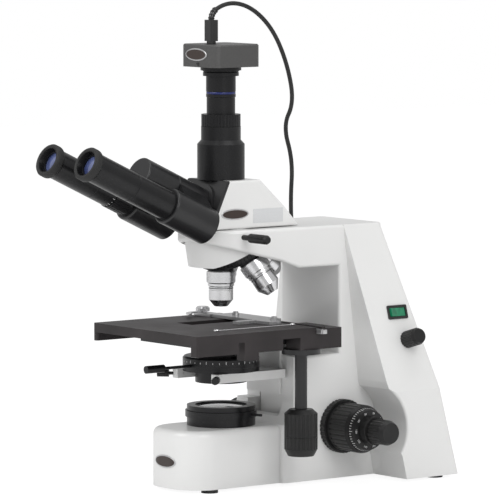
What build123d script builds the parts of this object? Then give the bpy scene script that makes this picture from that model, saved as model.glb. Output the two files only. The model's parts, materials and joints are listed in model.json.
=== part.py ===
from build123d import *
import math
import os

os.makedirs("parts", exist_ok=True)

# Lengths in mm. X is the operator's right, Y the back, Z up; the optical axis is at X = Y = 0.

# Rear edge and front edge of the whole instrument, from which the row's middle is taken.
HEAD_TILT = 25
HINGE_Y = -34
HINGE_Z = 338
EYEPIECE_END = 199.4
EYEPIECE_RIM_R = 20
STAND_REAR_Y = 274
EYEPIECE_DROP = 26.7
TUBE_SPREAD = 38
SIN_HEAD = math.sin(math.radians(HEAD_TILT))
COS_HEAD = math.cos(math.radians(HEAD_TILT))
EYEPIECE_FRONT_Y = HINGE_Y - EYEPIECE_DROP * SIN_HEAD - EYEPIECE_END * COS_HEAD
EYEPIECE_FRONT_Y = EYEPIECE_FRONT_Y - EYEPIECE_RIM_R * SIN_HEAD
Y_MID = (EYEPIECE_FRONT_Y + STAND_REAR_Y) / 2

# Fits and gaps.
RUN_FIT = 0.05
GAP = 0.3

# Stand.
FOOT_R = 10
FOOT_H = 4
FEET = ((40, -48), (-40, -48), (100, 250), (-100, 250))
BASE_Z = FOOT_H
NOSE_HALF = 50
NOSE_FRONT_Y = -84
NOSE_CORNER_R = 40
NOSE_TOP_Z = 74
NOSE_FILLET = 8
SEAM_Y = 50
BODY_HALF = 57
BODY_FRONT_Y = 67
BODY_TOP_Z = 155
PILLAR_Y = 136
ARM_TOP_Z = 310
ARM_FRONT_Y = -50
ARM_WALL = 4
ARM_LOW_Z = 261
STAND_TOP_REAR_Y = 201
CHANNEL_REAR_Y = 130
WING_TOP_Y = 142
WING_MID = (165, 122)
WING_FOOT_Y = 190
WING_KINK = (115, 110)
WING_HALF = 120
SCOOP_R = 55
CAST_EDGE_R = 4
WING_EDGE_R = 7
SCOOP_EDGE_R = 3
LOCK_Y = -8
LOCK_Z = 302
ROCKER_TILT = 8

# Focus drive.
AXLE_Y = 138
AXLE_Z = 67
AXLE_R = 4.5
FINE_SHAFT_R = 2.5
MODULE = 0.75
FOCUS_TEETH = 16
FOCUS_PITCH_R = MODULE * FOCUS_TEETH / 2
STAGE_TEETH = 24
STAGE_PITCH_R = MODULE * STAGE_TEETH / 2
TOOTH_UP = 0.6
TOOTH_DOWN = 0.85
TENSION_X = (57.3, 65.7)
TENSION_R = 32.5
TENSION_BOSS_R = 12
COARSE_X = (66.3, 104)
COARSE_R = 29
DIAL_X = (104.3, 112)
DIAL_R = 26
FINE_KNOB_X = 152
FINE_STEP_X = 124
FINE_STEP_R = 17
FINE_KNOB_R = 15
CARRIAGE_HALF = 30
CARRIAGE_Y = (84, 119.7)
CARRIAGE_Z = (50, 174)
RAIL_X = 22
RAIL_W = 8
WELL_HALF = 33
WELL_REAR_Y = 126
WELL_Z = 32
FRONT_WELL_Z = 82
RACK_HALF = 6
RACK_Z = (48, 96)

# Stage.
STAGE_TOP_Z = 198
SLAB_LOW_Z = 187
STAGE_X = (-78, 127)
STAGE_Y = (-132, 57)
BASE_PLATE_X = (-60, 75)
BASE_PLATE_Y = (-75, 119)
BASE_HOLE_R = 35
DRIVE_X = 108
DRIVE_Y = 36
SLEEVE_R = 7.3
SLEEVE_BORE = 5.05
TUBE_SHAFT_R = 5
INNER_SHAFT_R = 2.5
UPPER_KNOB_Z = (67.3, 100)
LOWER_KNOB_Z = (44.5, 67)
STAGE_KNOB_R = 19.7
HOLDER_Z = (198.3, 201.8)
HOLDER_X = (-72, 75)
HOLDER_Y = (14, 32)
SLIDE_RACK_Z = (190.6, 195.5)
SLIDE_RACK_X = (-40, 137)
FINGER_AT = (-62, 20)
THUMB_R = 8.5

# Condenser.
CARRIER_HALF = 32
CARRIER_Y = (64, 83.7)
CARRIER_Z = (108, 164)
FORK_X = (33, 43)
FORK_Z = (129, 139.5)
FORK_FRONT_Y = -40
FORK_BRIDGE_Y = 50
CONDENSER_R = 46
IRIS_SEAT_R = 42
IRIS_Z = (145, 149)
CONDENSER_TOP_Z = 185
CONDENSER_LOW_Z = 125.6
LENS_SEAT_R = 16
PINION_Y = 74
PINION_Z = 134
CONDENSER_KNOB_X = (-75, -45)
CONDENSER_KNOB_R = 9

# Nosepiece: the turret turns about an axis tilted from the vertical through APEX_Z.
TURRET_TILT = 25
APEX_Z = 324
TURRET_R = 44
TURRET_S = (42, 54)
MOUNT_S = 41.6
SHOULDER = 66
BOSS_R = 15.5
BOSS_START = 57
THREAD_R = 10.1
SPIGOT_R = 10.05
SPIGOT_LEN = 7.8
PIVOT_R = 7.95
OBJECTIVE_TURNS = (0, -90, 180, 90)

# Head.
HEAD_HALF = 38.5
HEAD_LOW_Z = 311
HEAD_TOP_Z = 368
PLATE_T = 4
FLANGE_R = 27
FLANGE_T = 2.7
HINGE_R = 6
HUB_R = 21
LOBE_R = 22
WEB_HALF = 18
HUB_SPLIT = 50.2
LOBE_S = (6, 71)
HUB_END = 98
PHOTO_R = 28.3
PHOTO_TOP_Z = 431
NECK_R = 20
NECK_TOP_Z = 444
NECK_BORE = 17.05
CLAMP_R = 23.4
CLAMP_TOP_Z = 445.5
ADAPTER_R = 17
ADAPTER_TOP_Z = 491
CMOUNT_T = 11
CMOUNT_TOP_Z = ADAPTER_TOP_Z + CMOUNT_T
CMOUNT_BORE_R = 12.7
CAMERA_H = 27
CAMERA_TOP_Z = CMOUNT_TOP_Z + CAMERA_H
CAMERA_W = 69
CAMERA_CORNER_R = 9

# Lamp.
COLLAR_R = 43
COLLAR_TOP_Z = 98
RING_Z = (84, 92)
LENS_R = 31

# USB cord: points of its route from the plug's strain relief to the coil.
CORD_R = 2.6
PLUG_Y = -14.4
PLUG_RISE = 28.7
PLUG_TOP_Z = CAMERA_TOP_Z + PLUG_RISE
PLUG_SHELL = (12, 4.5)
SOCKET_DEPTH = 9
RELIEF_BEND_R = 14
RELIEF_TURN = 60
COIL_AT = (-172, 150)
COIL_R = 29
FIRST_RUN = 18


def block(x0, x1, y0, y1, z0, z1):
    """Box between two corners."""
    middle = ((x0 + x1) / 2, (y0 + y1) / 2, (z0 + z1) / 2)
    return Pos(*middle) * Box(abs(x1 - x0), abs(y1 - y0), abs(z1 - z0))


def post(radius, z0, z1, x=0, y=0):
    """Upright cylinder."""
    return Pos(x, y, (z0 + z1) / 2) * Cylinder(radius, z1 - z0)


def axle(radius, x0, x1, y, z):
    """Cylinder along X."""
    return Pos((x0 + x1) / 2, y, z) * Rot(0, 90, 0) * Cylinder(radius, x1 - x0)


def side_profile(points, half):
    """Outline of (Y, Z) points, extruded to both sides of the middle plane."""
    face = make_face(Polyline(*[(0, y, z) for y, z in points], close=True))
    return extrude(face, half, dir=(1, 0, 0), both=True)


def turned(points):
    """Solid of revolution about Z of an outline of (radius, height) points."""
    face = make_face(Polyline(*[(r, 0, z) for r, z in points], close=True))
    return revolve(face, Axis.Z, 360)


def fluted(radius, z0, z1, count, flute_r, bore=0):
    """Grip with round flutes cut along it, and its bore if it has one."""
    face = Circle(radius)
    if bore:
        face -= Circle(bore)
    for turn in range(count):
        face -= Rot(0, 0, 360 * turn / count) * Pos(radius + flute_r * 0.45, 0, 0) * Circle(flute_r)
    return Pos(0, 0, z0) * extrude(face, z1 - z0)


def gear(teeth, height):
    """Spur pinion with straight flanks and free play, from z 0."""
    pitch_r = MODULE * teeth / 2
    half_at = ((pitch_r - TOOTH_DOWN, 0.62), (pitch_r + TOOTH_UP, 0.24))
    points = []
    for tooth in range(teeth):
        middle = 2 * math.pi * tooth / teeth
        foot, tip = half_at[0][0], half_at[1][0]
        for radius, side in ((foot, -1), (tip, -1), (tip, 1), (foot, 1)):
            half = half_at[0][1] if radius < pitch_r else half_at[1][1]
            angle = middle + side * half / radius
            points.append((radius * math.cos(angle), radius * math.sin(angle)))
    return extrude(make_face(Polyline(*points, close=True)), height)


def toothed_bar(length_from, length_to, gap_at, back, height):
    """Rack along local X with its pitch line at y 0 and its teeth towards +Y, back edge at -back."""
    pitch = math.pi * MODULE
    first = math.ceil((length_from + 0.8 - gap_at) / pitch - 0.5)
    last = math.floor((length_to - 0.8 - gap_at) / pitch - 0.5)
    points = [(length_from, -back), (length_from, -TOOTH_DOWN)]
    for tooth in range(first, last + 1):
        middle = gap_at + (tooth + 0.5) * pitch
        points += [(middle - 0.62, -TOOTH_DOWN), (middle - 0.24, TOOTH_UP)]
        points += [(middle + 0.24, TOOTH_UP), (middle + 0.62, -TOOTH_DOWN)]
    points += [(length_to, -TOOTH_DOWN), (length_to, -back)]
    return extrude(make_face(Polyline(*points, close=True)), height)


def arm_plan(reach, half):
    """Upright prism of the arm's plan with its round front end."""
    centre_y = reach + half
    rear = STAND_TOP_REAR_Y
    plan = Pos(0, (centre_y + rear) / 2) * Rectangle(2 * half, rear - centre_y)
    plan += Pos(0, centre_y) * Circle(half)
    return Pos(0, 0, 200) * extrude(plan, 200)


def arm():
    """Arm from the pillar forward, its lower edge rising to the round front."""
    points = [(ARM_FRONT_Y - 1, 296), (0, 282), (47, 271), (75, ARM_LOW_Z), (PILLAR_Y + 20, ARM_LOW_Z)]
    points += [(PILLAR_Y + 20, ARM_TOP_Z), (ARM_FRONT_Y - 1, ARM_TOP_Z)]
    outer = side_profile(points, BODY_HALF) & arm_plan(ARM_FRONT_Y, BODY_HALF)
    return outer


def arm_channel():
    """Space under the arm's roof."""
    space = arm_plan(ARM_FRONT_Y + ARM_WALL, BODY_HALF - ARM_WALL)
    limit = block(-BODY_HALF, BODY_HALF, ARM_FRONT_Y, CHANNEL_REAR_Y, 240, ARM_TOP_Z - ARM_WALL)
    return space & limit


def core():
    """Lower body and pillar between the wings."""
    line = Polyline((0, PILLAR_Y, BODY_TOP_Z), (0, BODY_FRONT_Y, BODY_TOP_Z), (0, BODY_FRONT_Y, 105))
    sweep_in = ThreePointArc((0, BODY_FRONT_Y, 105), (0, 61.5, 84), (0, SEAM_Y, NOSE_TOP_Z))
    rest = Polyline(
        (0, SEAM_Y, NOSE_TOP_Z),
        (0, SEAM_Y, BASE_Z),
        (0, STAND_REAR_Y, BASE_Z),
        (0, STAND_TOP_REAR_Y, ARM_TOP_Z),
        (0, PILLAR_Y, ARM_TOP_Z),
        (0, PILLAR_Y, BODY_TOP_Z),
    )
    face = make_face(Wire([*line.edges(), sweep_in, *rest.edges()]))
    return extrude(face, BODY_HALF, dir=(1, 0, 0), both=True)


def wings():
    """Flared rear of the stand, with the round scoop behind each focus knob."""
    front_view = [(-BODY_HALF, ARM_TOP_Z), (BODY_HALF, ARM_TOP_Z), WING_KINK, (WING_HALF, BASE_Z)]
    front_view += [(-WING_HALF, BASE_Z), (-WING_KINK[0], WING_KINK[1])]
    face = make_face(Polyline(*[(x, 130, z) for x, z in front_view], close=True))
    across = extrude(face, 160, dir=(0, 1, 0))
    side_view = [(WING_TOP_Y, ARM_TOP_Z), (STAND_TOP_REAR_Y, ARM_TOP_Z), (STAND_REAR_Y, BASE_Z)]
    side_view += [(WING_FOOT_Y, BASE_Z), WING_MID]
    flare = side_profile(side_view, WING_HALF + 5) & across
    for side in (-1, 1):
        near = side * BODY_HALF
        far = side * (WING_HALF + 10)
        flare -= axle(SCOOP_R, min(near, far), max(near, far), AXLE_Y, AXLE_Z)
    flare = fillet(flare.edges().filter_by(rear_corner), WING_EDGE_R)
    return fillet(flare.edges().filter_by(scoop_edge), SCOOP_EDGE_R)


def rear_corner(edge):
    """Long sloping edge at the back of a wing."""
    middle = edge.center()
    return abs(middle.X) > BODY_HALF + 5 and middle.Y > 220 and edge.length > 100


def scoop_edge(edge):
    """Outer rim of the scoop."""
    return edge.geom_type == GeomType.ELLIPSE and edge.length > 50


def side_edge(edge):
    """Edge along the flat sides of the lower body, pillar and arm."""
    middle = edge.center()
    return abs(abs(middle.X) - BODY_HALF) < 0.01 and edge.bounding_box().size.X < 0.01 and middle.Z > 8


def stand_casting():
    body = core() + arm()
    body = fillet(body.edges().filter_by(side_edge), CAST_EDGE_R) + wings()
    body -= arm_channel()
    body -= block(-WELL_HALF, WELL_HALF, 77, WELL_REAR_Y, WELL_Z, BODY_TOP_Z + 1)
    body -= block(-WELL_HALF, WELL_HALF, 40, 77.5, FRONT_WELL_Z, BODY_TOP_Z + 1)
    body -= block(-BODY_HALF - 1, -WELL_HALF + 1, 60, 84.5, 98, BODY_TOP_Z + 1)
    for side in (-1, 1):
        rail_at = side * RAIL_X
        body += block(rail_at - RAIL_W / 2, rail_at + RAIL_W / 2, 120, WELL_REAR_Y, WELL_Z, 154)
    body -= block(-9, 9, 119, AXLE_Y - 3.5, 28, 112)
    body -= axle(8, -9, 9, AXLE_Y, AXLE_Z)
    body += axle(TENSION_BOSS_R, BODY_HALF - 2, COARSE_X[0] - GAP, AXLE_Y, AXLE_Z)
    body += axle(TENSION_BOSS_R + 6, -COARSE_X[0] + GAP, -BODY_HALF + 2, AXLE_Y, AXLE_Z)
    body -= axle(AXLE_R + RUN_FIT, -COARSE_X[0], COARSE_X[0], AXLE_Y, AXLE_Z)
    body -= switch_plane() * Pos(0, 0, -6) * Box(26, 13, 16)
    body -= knob_plane() * Pos(0, 0, -6) * Cylinder(3 + RUN_FIT, 14)
    body -= Plane(origin=(BODY_HALF, LOCK_Y, LOCK_Z), z_dir=(1, 0, 0)) * Cylinder(3.25, 12)
    body -= inlet_space()
    return body



def panel_plane(y, z):
    """Plane on the right wing's sloping panel, local X to the back and local Y up the slope."""
    run = WING_KINK[0] - BODY_HALF
    drop = ARM_TOP_Z - WING_KINK[1]
    x = BODY_HALF + run * (ARM_TOP_Z - z) / drop
    return Plane(origin=(x, y, z), x_dir=(0, 1, 0), z_dir=(drop, 0, run))


def switch_plane():
    return panel_plane(200, 203)


def knob_plane():
    return panel_plane(208, 170)


def rear_plane(z):
    """Plane on the rear face, local Y up the slope and local Z outward."""
    run = STAND_REAR_Y - STAND_TOP_REAR_Y
    rise = ARM_TOP_Z - BASE_Z
    y = STAND_REAR_Y - run * (z - BASE_Z) / rise
    return Plane(origin=(0, y, z), x_dir=(-1, 0, 0), z_dir=(0, rise, run))


def inlet_space():
    return rear_plane(40) * Pos(0, 0, -9) * Box(28.4, 21.4, 22)


def power_inlet():
    """Mains inlet with its three pins, set in the rear face."""
    shell = Pos(0, 0, -8) * Box(28, 21, 20) + Pos(0, 0, 1) * Box(34, 26, 2)
    shell -= Pos(0, 0, -4) * Box(23, 16, 14)
    for x, y in ((0, 3), (-6, -2), (6, -2)):
        shell += Pos(x, y, -6) * Box(2, 4, 12)
    return rear_plane(40) * shell


def lamp_base():
    """Rounded nose with the lamp room inside, open below and under the field lens."""
    depth = SEAM_Y - NOSE_FRONT_Y
    plan = Pos(0, NOSE_FRONT_Y + depth) * RectangleRounded(2 * NOSE_HALF, 2 * depth, NOSE_CORNER_R)
    plan -= Pos(0, SEAM_Y + depth) * Rectangle(4 * NOSE_HALF, 2 * depth)
    body = Pos(0, 0, BASE_Z) * extrude(plan, NOSE_TOP_Z - BASE_Z)
    top_edges = body.edges().group_by(Axis.Z)[-1]
    body = fillet(top_edges.filter_by(lambda e: e.center().Y < SEAM_Y - 1), NOSE_FILLET)
    body -= Pos(0, -5, BASE_Z - 1) * extrude(RectangleRounded(76, 98, 18), 62 - BASE_Z + 1)
    body -= post(LENS_R - 3, 50, NOSE_TOP_Z + 1)
    return body


def lamp_collar():
    """Black collar on the nose that carries the field lens."""
    low, high = RING_Z
    lip = LENS_R - 3
    points = [(lip, NOSE_TOP_Z), (COLLAR_R - 2, NOSE_TOP_Z), (COLLAR_R - 2, low), (COLLAR_R - 5, low)]
    points += [(COLLAR_R - 5, high), (COLLAR_R - 2, high), (COLLAR_R - 2, COLLAR_TOP_Z)]
    points += [(LENS_R, COLLAR_TOP_Z), (LENS_R, COLLAR_TOP_Z - 7), (lip, COLLAR_TOP_Z - 7)]
    return turned(points)


def field_ring():
    """Turning ring of the field diaphragm with its short lever."""
    low, high = RING_Z
    inner = COLLAR_R - 5 + 0.1
    points = [(inner, low + 0.2), (COLLAR_R, low + 0.2), (COLLAR_R, high - 0.2), (inner, high - 0.2)]
    ring = turned(points)
    outward = Plane(origin=(0, 0, (low + high) / 2), x_dir=(0, 0, 1), z_dir=(0.93, 0.37, 0))
    lever = outward * Pos(0, 0, COLLAR_R + 6) * Cylinder(1.6, 14)
    return ring + lever


def field_lens():
    """Glass with a low dome on its top."""
    dome = Pos(0, 0, 97.6 - 220) * Sphere(220) & post(LENS_R - RUN_FIT, 91, 99)
    return dome


def halogen_bulb():
    """Bulb on its two pin ceramic base, standing on the lamp room's floor plate."""
    base = post(11, 6, 26) + post(6, 26, 32)
    glass = post(5.5, 31, 47) + Pos(0, 0, 47) * Sphere(5.5)
    return base + glass


def bottom_plate():
    """Steel plate that closes the nose from below."""
    plan = Pos(0, -5) * RectangleRounded(75.4, 97.4, 17.7)
    return Pos(0, 0, BASE_Z) * extrude(plan, 2)


def rubber_feet():
    """Four feet, each pushed into the stand with a short stud."""
    feet = [post(FOOT_R, 0, FOOT_H, x, y) for x, y in FEET]
    return Compound(children=feet)


def switch_bezel():
    frame = extrude(RectangleRounded(30, 17, 1.5), 1.6)
    tray = Pos(0, 0, -6) * Box(25.8, 12.8, 12)
    return switch_plane() * (frame + tray - Pos(0, 0, -4.5) * Box(25.2 - 0.6, 10.8, 14))



def switch_rocker():
    """Rocker resting with its rear end pressed, pivoting on the short axis."""
    points = [(-11.6, -1.8), (-11.6, 1.6), (0, 0.9), (11.6, 1.6), (11.6, -1.8), (3, -5), (-3, -5)]
    face = make_face(Polyline(*[(x, 0, z) for x, z in points], close=True))
    rocker = extrude(face, 5, dir=(0, 1, 0), both=True)
    return switch_plane() * Pos(0, 0, 0.8) * Rot(0, ROCKER_TILT, 0) * rocker


def brightness_knob():
    knob = fluted(10.5, 0.4, 21, 18, 1.2) + Pos(0, 0, 22.9) * Cone(10, 8.8, 4)
    return knob_plane() * (knob + Pos(0, 0, -5) * Cylinder(3, 12))


def tension_ring():
    ring = fluted(TENSION_R, 0, TENSION_X[1] - TENSION_X[0], 40, 1.4)
    ring -= Pos(0, 0, 4) * Cylinder(TENSION_BOSS_R + RUN_FIT, 12)
    return Plane(origin=(TENSION_X[0], AXLE_Y, AXLE_Z), x_dir=(0, 1, 0), z_dir=(1, 0, 0)) * ring


def coarse_shaft():
    """Hollow axle with the focus pinion at its middle."""
    bar = axle(AXLE_R, -COARSE_X[1], COARSE_X[1], AXLE_Y, AXLE_Z)
    wheel = Plane(origin=(-8, AXLE_Y, AXLE_Z), x_dir=(0, 1, 0), z_dir=(1, 0, 0)) * gear(FOCUS_TEETH, 16)
    return bar + wheel - axle(FINE_SHAFT_R + RUN_FIT, -COARSE_X[1] - 1, COARSE_X[1] + 1, AXLE_Y, AXLE_Z)


def knob_pair(make_half):
    """The right-hand piece and its mirror on the left."""
    right = Plane(origin=(0, AXLE_Y, AXLE_Z), x_dir=(0, 1, 0), z_dir=(1, 0, 0)) * make_half
    return Compound(children=[right, mirror(right, Plane.YZ)])


def coarse_knobs():
    low, high = COARSE_X
    grip = fluted(COARSE_R, low + 5, high - 4, 30, 1.7, AXLE_R)
    grip += turned([(AXLE_R, low), (COARSE_R, low), (COARSE_R, low + 5), (AXLE_R, low + 5)])
    grip += turned([(AXLE_R, high - 4), (COARSE_R, high - 4), (COARSE_R - 2, high), (AXLE_R, high)])
    return knob_pair(grip)


def fine_shaft():
    return axle(FINE_SHAFT_R, -FINE_KNOB_X + 6, FINE_KNOB_X - 6, AXLE_Y, AXLE_Z)


def fine_knobs():
    bore = FINE_SHAFT_R
    points = [(bore, DIAL_X[0]), (DIAL_R, DIAL_X[0]), (DIAL_R - 2, DIAL_X[1]), (FINE_STEP_R, DIAL_X[1])]
    points += [(FINE_STEP_R, FINE_STEP_X), (bore, FINE_STEP_X)]
    grip = turned(points) + fluted(FINE_KNOB_R, FINE_STEP_X, FINE_KNOB_X - 6, 20, 1.2, bore)
    grip += Pos(0, 0, FINE_KNOB_X - 3) * Cone(FINE_KNOB_R, FINE_KNOB_R - 2.5, 6)
    return knob_pair(grip)


def focus_carriage():
    """Bracket in the stand's well that lifts the stage."""
    bracket = block(-CARRIAGE_HALF, CARRIAGE_HALF, *CARRIAGE_Y, *CARRIAGE_Z)
    bracket -= block(-12, 12, 95, 108, CARRIAGE_Z[0] - 1, CARRIAGE_Z[1] - 12)
    rack = Plane(origin=(-RACK_HALF + 0.5, PINION_Y + FOCUS_PITCH_R, 0), x_dir=(0, 0, 1), z_dir=(1, 0, 0))
    teeth = toothed_bar(114, 148, PINION_Z, CARRIAGE_Y[0] - PINION_Y - FOCUS_PITCH_R, 2 * RACK_HALF - 1)
    return bracket + rack * teeth


def focus_rack():
    """Rack on the back of the carriage, its teeth towards the axle."""
    place = Plane(origin=(RACK_HALF, AXLE_Y - FOCUS_PITCH_R, 0), x_dir=(0, 0, 1), z_dir=(-1, 0, 0))
    back = AXLE_Y - FOCUS_PITCH_R - CARRIAGE_Y[1]
    return place * toothed_bar(*RACK_Z, AXLE_Z, back, 2 * RACK_HALF)


def stage_base():
    """Plate on the carriage that carries the moving stage, with the rack of the Y drive."""
    plate = block(*BASE_PLATE_X, *BASE_PLATE_Y, CARRIAGE_Z[1], SLAB_LOW_Z - 0.3)
    plate -= post(BASE_HOLE_R, 170, 190)
    reach = DRIVE_X - STAGE_PITCH_R
    plate += block(BASE_PLATE_X[1] - 5, reach - 4, 0, 72, 177, 183)
    rack = Plane(origin=(reach, 0, 177), x_dir=(0, 1, 0), z_dir=(0, 0, 1))
    teeth = toothed_bar(0, 72, DRIVE_Y, 5, 6)
    return plate + rack * mirror(teeth, Plane.XZ)


def stage_plate():
    """Moving plate with its deep right edge, drive block and the groove of the X rack."""
    slab = block(*STAGE_X, *STAGE_Y, SLAB_LOW_Z, STAGE_TOP_Z)
    slab += block(STAGE_X[0], -70, *STAGE_Y, 177, SLAB_LOW_Z)
    slab += block(112, STAGE_X[1], STAGE_Y[0], -72, CARRIAGE_Z[1], SLAB_LOW_Z)
    slab += block(112, STAGE_X[1], -63, -6, CARRIAGE_Z[1], SLAB_LOW_Z)
    slab += block(112, STAGE_X[1], -63, -42, 165, CARRIAGE_Z[1])
    slab += block(99.6, STAGE_X[1], 20, 82, 172, SLAB_LOW_Z)
    slab += block(60, STAGE_X[1], STAGE_Y[1], 82, SLAB_LOW_Z, 196)
    corners = slab.edges().filter_by(Axis.Z).filter_by(lambda e: e.center().Y < -131)
    slab = fillet(corners, 3)
    slab -= block(-15, 15, -55, 25, 180, 200)
    slab -= block(STAGE_X[0] - 1, STAGE_X[1] + 1, DRIVE_Y + 8, 52.3, SLIDE_RACK_Z[0] - 0.3, STAGE_TOP_Z + 1)
    slab -= post(STAGE_PITCH_R + 1.2, 176.4, 183.6, DRIVE_X, DRIVE_Y)
    slab -= post(STAGE_PITCH_R + 1.2, SLIDE_RACK_Z[0] - 0.3, 196, DRIVE_X, DRIVE_Y)
    slab -= post(SLEEVE_BORE, 171, 177, DRIVE_X, DRIVE_Y)
    slab -= post(INNER_SHAFT_R + RUN_FIT, 183, 191, DRIVE_X, DRIVE_Y)
    return slab


def drive_sleeve():
    """Fixed sleeve that hangs from the stage and holds both drive shafts."""
    sleeve = post(SLEEVE_R, UPPER_KNOB_Z[1] + 0.4, 172, DRIVE_X, DRIVE_Y)
    sleeve += post(23, 166, 172, DRIVE_X, DRIVE_Y)
    return sleeve - post(TUBE_SHAFT_R + RUN_FIT, 90, 180, DRIVE_X, DRIVE_Y)


def stage_y_knob():
    """Upper knob with its hollow shaft and the pinion of the Y drive."""
    low, high = UPPER_KNOB_Z
    grip = fluted(STAGE_KNOB_R, low, high - 5, 24, 1.5) + Pos(0, 0, high - 2.5) * Cone(STAGE_KNOB_R, 14, 5)
    shaft = Pos(0, 0, (low + 182.6) / 2) * Cylinder(TUBE_SHAFT_R, 182.6 - low)
    wheel = Pos(0, 0, 177.2) * gear(STAGE_TEETH, 5.6)
    knob = grip + shaft + wheel - Pos(0, 0, 120) * Cylinder(INNER_SHAFT_R + RUN_FIT, 140)
    return Pos(DRIVE_X, DRIVE_Y, 0) * knob


def stage_x_knob():
    """Lower knob with the inner shaft and the pinion of the X drive."""
    low, high = LOWER_KNOB_Z
    grip = fluted(STAGE_KNOB_R, low + 8, high, 24, 1.5) + Pos(0, 0, low + 4) * Cone(15.5, STAGE_KNOB_R, 8)
    shaft = Pos(0, 0, (low + 5 + 195) / 2) * Cylinder(INNER_SHAFT_R, 195 - low - 5)
    wheel = Pos(0, 0, 191) * Rot(0, 0, 90) * gear(STAGE_TEETH, 4)
    return Pos(DRIVE_X, DRIVE_Y, 0) * (grip + shaft + wheel)


def x_slide():
    """Rack bar in the stage's groove and the bridge that carries the slide holder."""
    pitch_y = DRIVE_Y + STAGE_PITCH_R
    rack = Plane(origin=(0, pitch_y, SLIDE_RACK_Z[0]), x_dir=(1, 0, 0), z_dir=(0, 0, 1))
    teeth = toothed_bar(80, SLIDE_RACK_X[1], DRIVE_X, 7, SLIDE_RACK_Z[1] - SLIDE_RACK_Z[0])
    bar = rack * mirror(teeth, Plane.XZ)
    bar += block(SLIDE_RACK_X[0], 80, pitch_y + TOOTH_DOWN, 52, *SLIDE_RACK_Z)
    bar += block(SLIDE_RACK_X[0], 50, 46.2, 52, SLIDE_RACK_Z[1], HOLDER_Z[0])
    bar += block(SLIDE_RACK_X[0], 50, HOLDER_Y[1], 52, HOLDER_Z[0], HOLDER_Z[1])
    return bar


def specimen_holder():
    """Bar with the fixed jaw at its right and the post of the spring finger at its left."""
    bar = block(*HOLDER_X, *HOLDER_Y, *HOLDER_Z)
    bar -= block(-40, 40, HOLDER_Y[0] - 1, HOLDER_Y[0] + 3, *HOLDER_Z)
    bar += block(38.2, 50, -12, HOLDER_Y[0], *HOLDER_Z)
    bar -= post(2.1, 197, 203, *FINGER_AT)
    for x in (-5, 69):
        bar += post(4.2, HOLDER_Z[1], 206, x, 26) + post(3.1, 206, 207.4, x, 26)
    return bar


def slide_finger():
    """Curved finger that presses the slide into the jaw, on its knurled pivot screw."""
    x, y = FINGER_AT
    outer = ThreePointArc((x - 4, y), (x - 2, y - 22), (x + 18, y - 34))
    inner = ThreePointArc((x + 18, y - 30), (x + 4, y - 18), (x + 4, y))
    ends = [Line((x + 18, y - 34), (x + 18, y - 30)), Line((x + 4, y), (x - 4, y))]
    blade = extrude(make_face(Wire([outer, ends[0], inner, ends[1]])), 1.6)
    blade = Pos(0, 0, 202.1) * blade
    pivot = post(5, 202.1, 204, x, y) + post(2, 198.6, 203, x, y)
    thumb = Pos(x, y, 0) * fluted(THUMB_R, 204, 207.5, 24, 0.8) + Pos(x, y, 208.5) * Cone(THUMB_R, THUMB_R - 2, 2)
    return blade + pivot + thumb


def condenser_carrier():
    """Carrier on the carriage's front with the fork that holds the condenser."""
    body = block(-CARRIER_HALF, CARRIER_HALF, *CARRIER_Y, *CARRIER_Z)
    body += block(-FORK_X[1], FORK_X[1], FORK_BRIDGE_Y, CARRIER_Y[0] + 0.1, *FORK_Z)
    for side in (-1, 1):
        inner, outer = sorted((side * FORK_X[0], side * FORK_X[1]))
        body += block(inner, outer, FORK_FRONT_Y, FORK_BRIDGE_Y, *FORK_Z)
    body -= block(-RACK_HALF, RACK_HALF, 78.5, 90, CARRIER_Z[0] - 1, CARRIER_Z[1] + 1)
    body -= axle(FOCUS_PITCH_R + 1.3, -RACK_HALF, RACK_HALF, PINION_Y, PINION_Z)
    body -= axle(FINE_SHAFT_R + RUN_FIT, -60, 14, PINION_Y, PINION_Z)
    for side in (-1, 1):
        body -= screw_plane(side) * Pos(0, 0, 4) * Cylinder(2 + RUN_FIT, 20)
    return body


def screw_plane(side):
    """Plane at a fork end, its Z along the centring screw and outward."""
    return Plane(origin=(side * 38, FORK_FRONT_Y + 6, 134.2), x_dir=(0, 0, 1), z_dir=(side, -1, 0))


def centring_screw(side):
    knob = fluted(4.5, 12.5, 26.5, 12, 0.6)
    return screw_plane(side) * (knob + Pos(0, 0, 6) * Cylinder(2, 18))


def condenser_body():
    points = [(15, CONDENSER_LOW_Z), (31, CONDENSER_LOW_Z), (31, FORK_Z[1]), (CONDENSER_R, FORK_Z[1])]
    points += [(CONDENSER_R, IRIS_Z[0]), (IRIS_SEAT_R, IRIS_Z[0]), (IRIS_SEAT_R, IRIS_Z[1])]
    points += [(CONDENSER_R, IRIS_Z[1]), (CONDENSER_R, 155), (CONDENSER_R - 2, 157), (28, 157), (28, 170)]
    points += [(26, 170), (LENS_SEAT_R + 2, CONDENSER_TOP_Z), (LENS_SEAT_R, CONDENSER_TOP_Z)]
    points += [(LENS_SEAT_R, 178), (15, 178)]
    return turned(points)


def condenser_lens():
    return Pos(0, 0, 184.4 - 60) * Sphere(60) & post(LENS_SEAT_R - RUN_FIT, 178, 186)


def iris_ring():
    """Graduated ring of the aperture diaphragm with its long lever."""
    inner = IRIS_SEAT_R + 0.1
    low, high = IRIS_Z[0] + 0.1, IRIS_Z[1] - 0.1
    ring = turned([(inner, low), (CONDENSER_R, low), (CONDENSER_R, high), (inner, high)])
    lever_plane = Plane(origin=(0, 0, (low + high) / 2), x_dir=(0, 0, 1), z_dir=(0, -1, 0))
    lever = Pos(0, 0, 66) * Cylinder(1.8, 44) + Pos(0, 0, 99) * Cylinder(4.6, 26)
    return ring + lever_plane * lever


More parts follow.
